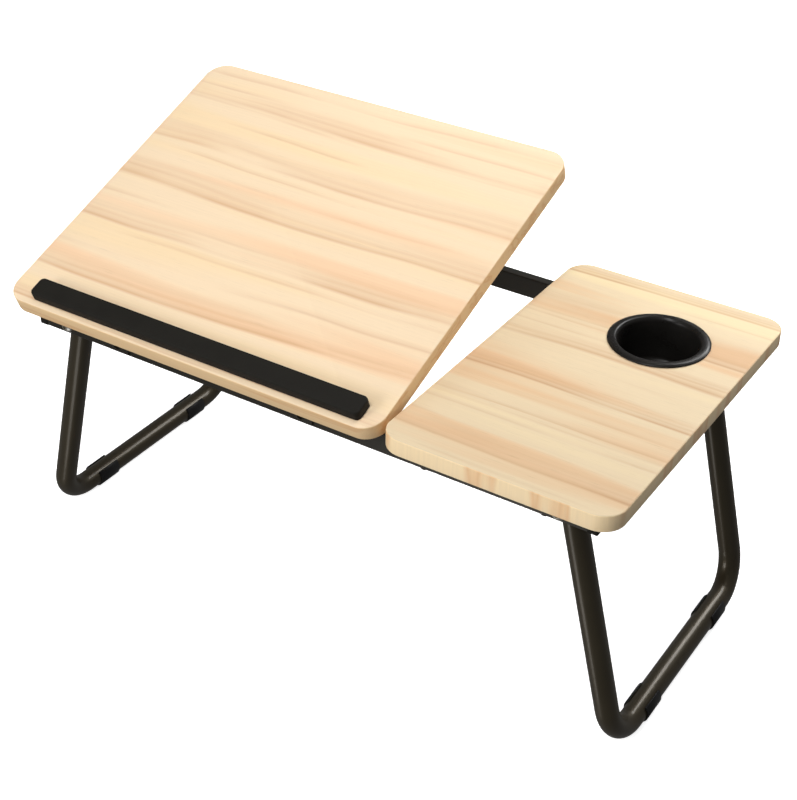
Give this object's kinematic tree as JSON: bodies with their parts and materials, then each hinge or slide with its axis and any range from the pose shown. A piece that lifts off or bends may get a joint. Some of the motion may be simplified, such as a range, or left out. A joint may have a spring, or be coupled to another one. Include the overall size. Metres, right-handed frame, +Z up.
{
  "type": "folding tray table",
  "caption": "Low tray table with a tilting reading board and book ledge, a fixed side board with a cup holder, and two folding tube legs.",
  "frame": {"origin": "on the floor, under the middle of the table's box, with the legs out and the reading board at 20.5 degrees", "axes": "+X to the user's right along the table's length, from the reading board to the side board; +Y away from the user; +Z up"},
  "size_m": [0.626, 0.338, 0.378],
  "materials": {
    "wood": "pale straight-grained laminate with soft darker streaks, satin",
    "black_steel": "black powder coat, fine texture",
    "bronze": "dark bronze-black powder coat, semi-gloss",
    "plastic": "moulded black plastic, fine grain",
    "rubber": "black rubber, matt",
    "nylon": "natural nylon",
    "zinc": "bright zinc plating"
  },
  "bodies": {
    "frame": {"side_board": "wood", "cup_insert": "plastic", "cup_ring": "plastic", "front_rail": "black_steel", "rear_rail": "black_steel", "rail_plug_front_left": "plastic", "rail_plug_front_right": "plastic", "rail_plug_rear_left": "plastic", "rail_plug_rear_right": "plastic", "stop_bar_left": "black_steel", "stop_bar_right": "black_steel", "track_bar_left": "black_steel", "track_bar_right": "black_steel", "side_board_screw_1": "zinc", "side_board_screw_2": "zinc", "side_board_screw_3": "zinc", "side_board_screw_4": "zinc", "pivot_bolt_front_left": "zinc", "pivot_bolt_front_right": "zinc", "pivot_bolt_rear_left": "zinc", "pivot_bolt_rear_right": "zinc", "pivot_nut_front_left": "zinc", "pivot_nut_front_right": "zinc", "pivot_nut_rear_left": "zinc", "pivot_nut_rear_right": "zinc", "pivot_washer_front_left": "nylon", "pivot_washer_front_right": "nylon", "pivot_washer_rear_left": "nylon", "pivot_washer_rear_right": "nylon", "hinge_ear_left": "black_steel", "hinge_ear_right": "black_steel"},
    "reading_board": {"tilt_board": "wood", "book_ledge": "plastic", "ledge_screw_1": "zinc", "ledge_screw_2": "zinc", "ledge_screw_3": "zinc", "hinge_block_left": "nylon", "hinge_block_right": "nylon", "hinge_pin_left": "zinc", "hinge_pin_right": "zinc", "prop_bracket_left": "zinc", "prop_bracket_right": "zinc", "prop_bracket_left_screw_1": "zinc", "prop_bracket_left_screw_2": "zinc", "prop_bracket_right_screw_1": "zinc", "prop_bracket_right_screw_2": "zinc", "prop_pivot_rod": "zinc"},
    "prop": {"prop_arm_left": "black_steel", "prop_arm_right": "black_steel", "prop_foot_rod": "zinc", "foot_rod_nut": "zinc"},
    "knob": {"clamp_knob": "plastic"},
    "leg_left": {"left_leg": "bronze", "foot_sleeve_front_left": "rubber", "foot_sleeve_rear_left": "rubber"},
    "leg_right": {"right_leg": "bronze", "foot_sleeve_front_right": "rubber", "foot_sleeve_rear_right": "rubber"}
  },
  "joints": [
    {"name": "board_tilt", "type": "hinge", "parent": "frame", "child": "reading_board", "pos_m": [-0.0875, -0.154, 0.25697], "axis": [1, 0, 0], "range_deg": [-20.5, 14.5]},
    {"name": "prop_fold", "type": "hinge", "parent": "reading_board", "child": "prop", "pos_m": [-0.13, -0.03271, 0.2895], "axis": [1, 0, 0], "range_deg": [-29, 41]},
    {"name": "knob_turn", "type": "hinge", "parent": "prop", "child": "knob", "pos_m": [-0.1983, 0.08017, 0.23449], "axis": [1, 0, 0], "range_deg": [0, 270]},
    {"name": "left_leg_fold", "type": "hinge", "parent": "frame", "child": "leg_left", "pos_m": [-0.2455, 0, 0.23747], "axis": [0, -1, 0], "range_deg": [0, 103.9]},
    {"name": "right_leg_fold", "type": "hinge", "parent": "frame", "child": "leg_right", "pos_m": [0.2455, 0, 0.23747], "axis": [0, 1, 0], "range_deg": [0, 103.9]}
  ],
  "couplings": [
    {"joint": "prop_fold", "follows": "board_tilt", "ratio": -2}
  ]
}
